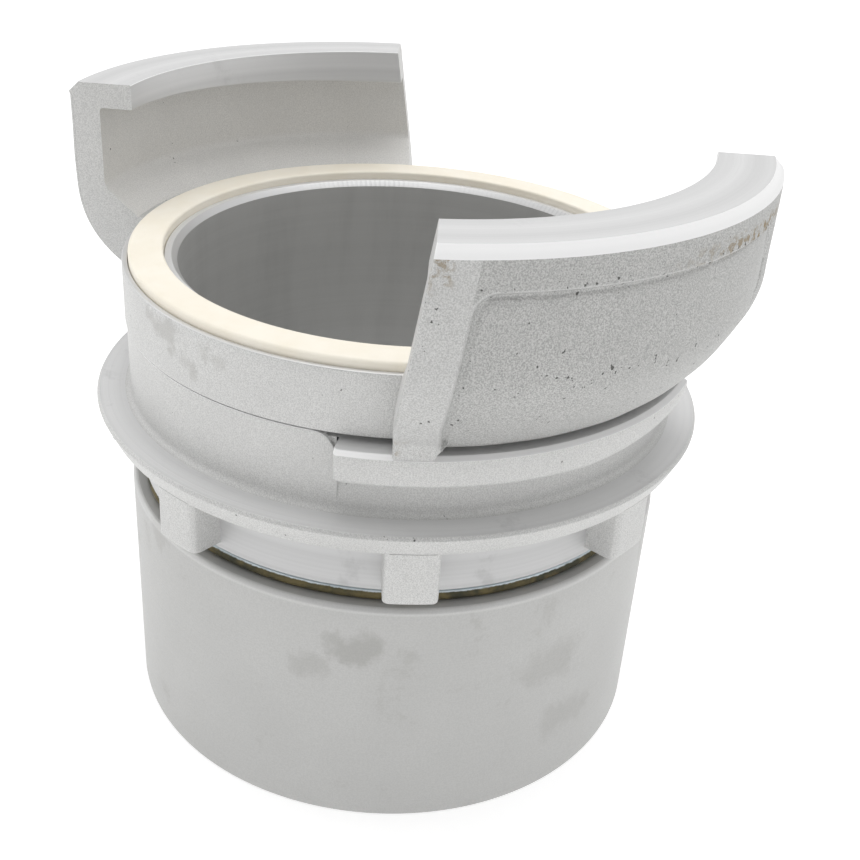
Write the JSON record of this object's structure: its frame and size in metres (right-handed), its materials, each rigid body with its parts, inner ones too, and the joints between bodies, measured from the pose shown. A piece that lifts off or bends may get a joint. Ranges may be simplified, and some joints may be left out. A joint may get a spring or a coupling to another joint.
{
  "type": "symmetrical claw coupling",
  "caption": "Symmetrical claw half-coupling with a rotating locking ring, a flat face seal and a female pipe-thread socket.",
  "frame": {"origin": "centre of the socket's bottom face", "axes": "+Z along the waterway from the threaded socket to the coupling face, +X through the middle of one claw"},
  "size_m": [0.1534, 0.1374, 0.1384],
  "materials": {
    "cast_aluminium": "bead-blasted casting with machined edges",
    "ring_aluminium": "bead-blasted casting, machined flange",
    "plated_wire": "zinc plated and passivated, soiled",
    "seal_rubber": "matt cream rubber",
    "machined_aluminium": "satin, turned",
    "o_ring_rubber": "matt black rubber"
  },
  "bodies": {
    "half_coupling": {"claw_body": "cast_aluminium", "retaining_wire": "plated_wire", "face_seal": "seal_rubber", "threaded_socket": "machined_aluminium", "joint_o_ring": "o_ring_rubber"},
    "ring": {"locking_ring": "ring_aluminium"}
  },
  "joints": [
    {"name": "ring_turn", "type": "hinge", "parent": "half_coupling", "child": "ring", "pos_m": [0, 0, 0.078], "axis": [0, 0, 1], "continuous": true}
  ]
}
